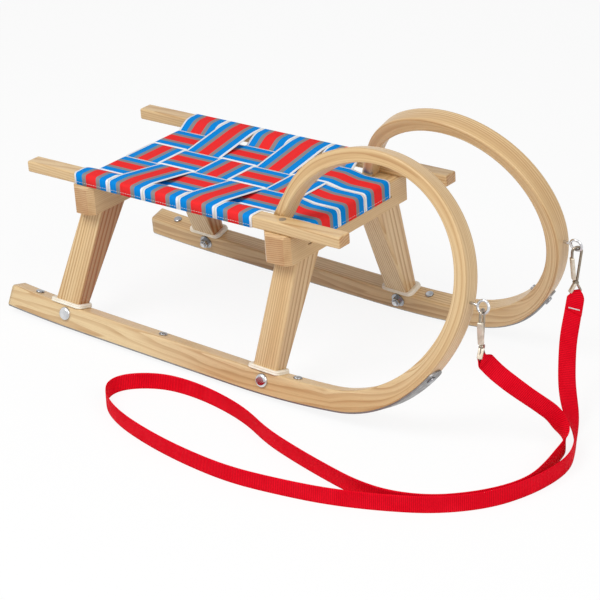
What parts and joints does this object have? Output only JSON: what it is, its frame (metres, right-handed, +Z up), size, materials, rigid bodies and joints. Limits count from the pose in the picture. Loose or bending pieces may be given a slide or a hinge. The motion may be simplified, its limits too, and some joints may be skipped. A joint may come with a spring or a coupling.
{
  "type": "horned wooden snow sled",
  "caption": "Bent-wood horned snow sled with splayed legs, steel-soled runners, a woven webbing seat and a tow strap on snap hooks.",
  "frame": {"origin": "middle of the sled's footprint on the floor, without the loose tow strap and its hooks", "axes": "+X forward to the horns, +Y to the rider's left, +Z up"},
  "size_m": [0.9584, 0.5761, 0.3764],
  "materials": {
    "ash": "clear satin varnish on light ash",
    "sole_steel": "bare drawn steel strip",
    "plated_steel": "bright zinc plate",
    "nickel_steel": "bright nickel plate",
    "collar_rubber": "matt cream rubber",
    "seat_webbing": "woven webbing striped white, blue, grey and red",
    "tow_webbing": "ribbed red webbing"
  },
  "bodies": {
    "root": {"beam_front": "ash", "beam_rear": "ash", "bolt_front_left": "plated_steel", "bolt_front_right": "plated_steel", "bolt_rear_left": "plated_steel", "bolt_rear_right": "plated_steel", "collar_front_left": "collar_rubber", "collar_front_right": "collar_rubber", "collar_rear_left": "collar_rubber", "collar_rear_right": "collar_rubber", "cross_strap_1": "seat_webbing", "cross_strap_2": "seat_webbing", "cross_strap_3": "seat_webbing", "cross_strap_4": "seat_webbing", "cross_strap_5": "seat_webbing", "eye_left": "plated_steel", "eye_right": "plated_steel", "hook_gate_left": "nickel_steel", "hook_gate_right": "nickel_steel", "hook_left": "nickel_steel", "hook_right": "nickel_steel", "leg_front_left": "ash", "leg_front_right": "ash", "leg_rear_left": "ash", "leg_rear_right": "ash", "length_strap_1": "seat_webbing", "length_strap_2": "seat_webbing", "length_strap_3": "seat_webbing", "nut_front_left": "plated_steel", "nut_front_right": "plated_steel", "nut_rear_left": "plated_steel", "nut_rear_right": "plated_steel", "rail_left": "ash", "rail_right": "ash", "rail_screw_left": "plated_steel", "rail_screw_right": "plated_steel", "rivets_left": "plated_steel", "rivets_right": "plated_steel", "runner_left": "ash", "runner_right": "ash", "sole_left": "sole_steel", "sole_right": "sole_steel", "tow_fold_left": "tow_webbing", "tow_fold_right": "tow_webbing", "tow_strap": "tow_webbing"}
  },
  "joints": []
}
